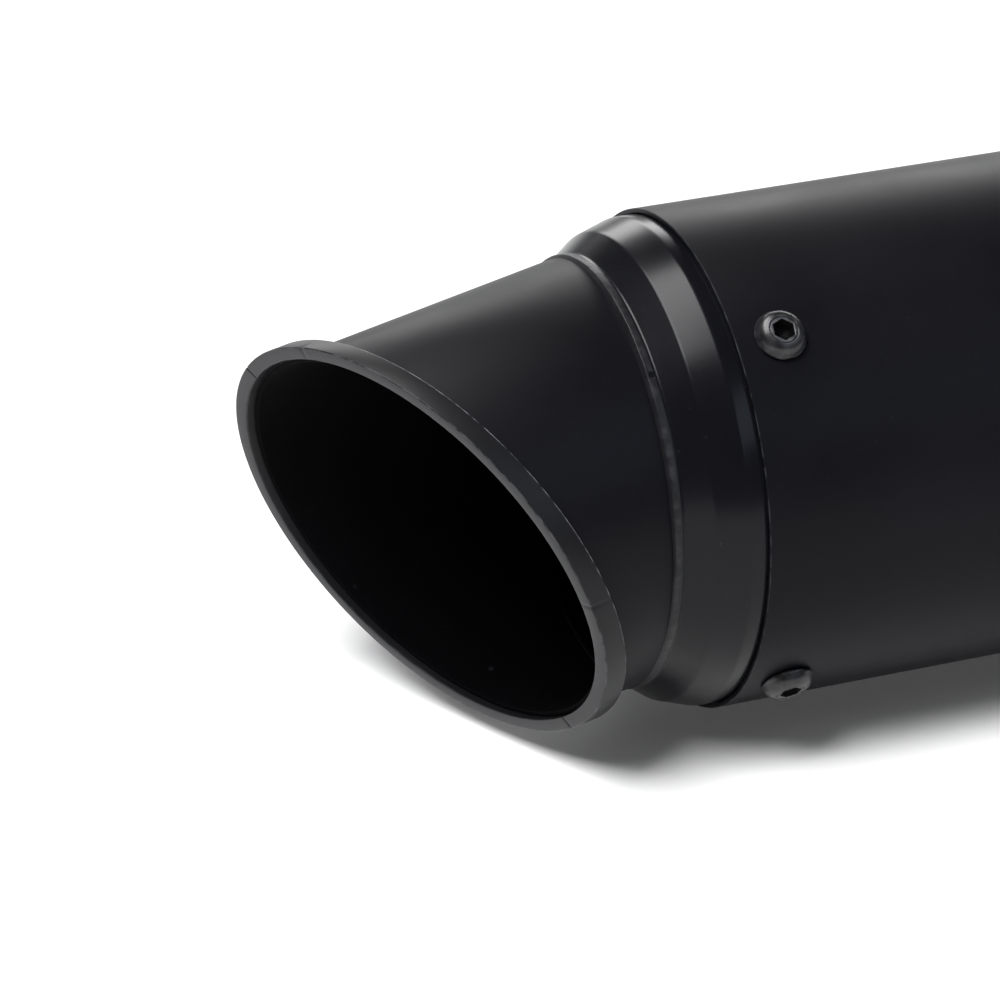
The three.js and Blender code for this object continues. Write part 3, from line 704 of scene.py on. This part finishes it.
CAD_FINISHES = {
    "outlet_plate": soot, "core_tube": bare_steel, "packing": wool,
    "inlet_pipe": pipe_steel, "inlet_weld": weld_paint,
    "hanger_liner": liner_rubber, "hanger_strap": strap_paint, "hanger_tab": strap_paint,
    "hanger_washer_1": bare_steel, "hanger_washer_2": bare_steel, "hanger_bolt": screw_black,
    "hanger_nut": bare_steel, "inlet_clamp": bare_steel, "inlet_clamp_bolt": screw_black,
    "inlet_clamp_nut": bare_steel,
}
for end in ("outlet", "inlet"):
    for i in range(4):
        CAD_FINISHES[f"{end}_nut_{i + 1}"] = bare_steel
for node, material in CAD_FINISHES.items():
    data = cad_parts[node].data
    data.materials.clear()
    data.materials.append(material)

EASED_WIDTH = 0.3 * MM
EASED_ANGLE = math.radians(40)  # an edge that turns less isn't eased
EASED_NODES = ("hanger_strap", "hanger_tab", "hanger_washer_1", "hanger_washer_2", "hanger_nut",
               "hanger_bolt", "inlet_clamp", "inlet_clamp_nut", "inlet_clamp_bolt", "inlet_pipe")
for node in EASED_NODES:
    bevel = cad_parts[node].modifiers.new("eased_edges", "BEVEL")
    bevel.width = EASED_WIDTH
    bevel.segments = 2
    bevel.limit_method = "ANGLE"
    bevel.angle_limit = EASED_ANGLE

# ---------------------------------------------------------------- floor, light and camera

FLOOR_HALF = 6.0


def make_floor():
    mesh = bpy.data.meshes.new("floor")
    corners = [(x * FLOOR_HALF, y * FLOOR_HALF, 0) for x, y in ((-1, -1), (1, -1), (1, 1), (-1, 1))]
    mesh.from_pydata(corners, [], [(0, 1, 2, 3)])
    floor = add_object("floor", mesh)
    material, nodes, links, shader = new_material("white_table")
    shader.inputs["Base Color"].default_value = (0.9, 0.9, 0.9, 1)
    shader.inputs["Roughness"].default_value = 0.6
    mesh.materials.append(material)


make_floor()


def area_light(name, position, target, size, radiance, colour=(1, 1, 1), glossy=True, diffuse=True):
    light = bpy.data.lights.new(name, "AREA")
    light.shape = "RECTANGLE"
    light.size, light.size_y = size
    light.energy = radiance * math.pi * size[0] * size[1]
    light.color = colour
    obj = bpy.data.objects.new(name, light)
    obj.location = position
    obj.rotation_euler = (Vector(target) - Vector(position)).to_track_quat("-Z", "Y").to_euler()
    obj.visible_camera = False
    obj.visible_glossy = glossy
    obj.visible_diffuse = diffuse
    bpy.context.scene.collection.objects.link(obj)
    return obj


CAN_MIDDLE = (0, 0, 0.05)
# The softbox, ceiling and fill light the table and the paint. The cards only show in the paint's gloss.
area_light("key_softbox", (-1.75, -1.12, 3.3), CAN_MIDDLE, (1.6, 1.6), 29, glossy=False)
area_light("ceiling", (0, 0, 4), (0, 0, 0), (8, 8), 0.4, (0.94, 0.96, 1), glossy=False)
area_light("back_card", (0.45, 1.1, 0.46), CAN_MIDDLE, (1.4, 0.4), 5.5, diffuse=False)
area_light("shoulder_card", (-0.45, 0.18, 1.2), CAN_MIDDLE, (1.1, 0.55), 12, diffuse=False)
area_light("front_card", (0.6, -0.85, 0.85), CAN_MIDDLE, (1.4, 0.5), 1.5, (0.7, 0.82, 1), diffuse=False)
area_light("front_fill", (0.3, -2.0, 0.55), CAN_MIDDLE, (2.0, 1.0), 2.2, glossy=False)

world = bpy.data.worlds.new("studio")
world.use_nodes = True
world.node_tree.nodes["Background"].inputs["Color"].default_value = (1, 1, 1, 1)
bpy.context.scene.world = world
world.cycles_visibility.diffuse = False
world.cycles_visibility.glossy = False
bpy.context.scene.view_settings.view_transform = "Standard"


def make_camera():
    camera = bpy.data.objects.new("camera", bpy.data.cameras.new("camera"))
    bpy.context.scene.collection.objects.link(camera)
    camera.data.sensor_width = 36
    camera.data.lens = 180
    camera.data.clip_start = 0.05
    # where the camera stands from the middle of the sleeve's outlet edge, in sleeve radii, and where it looks
    stand = Vector((-7.0087, -16.2885, 8.7698)) * SLEEVE_RADIUS
    look = Vector((0.32183, 0.832535, -0.4509))
    camera.location = at_axis(OUTLET_EDGE) + stand
    camera.rotation_euler = look.to_track_quat("-Z", "Y").to_euler()
    bpy.context.scene.camera = camera


make_camera()
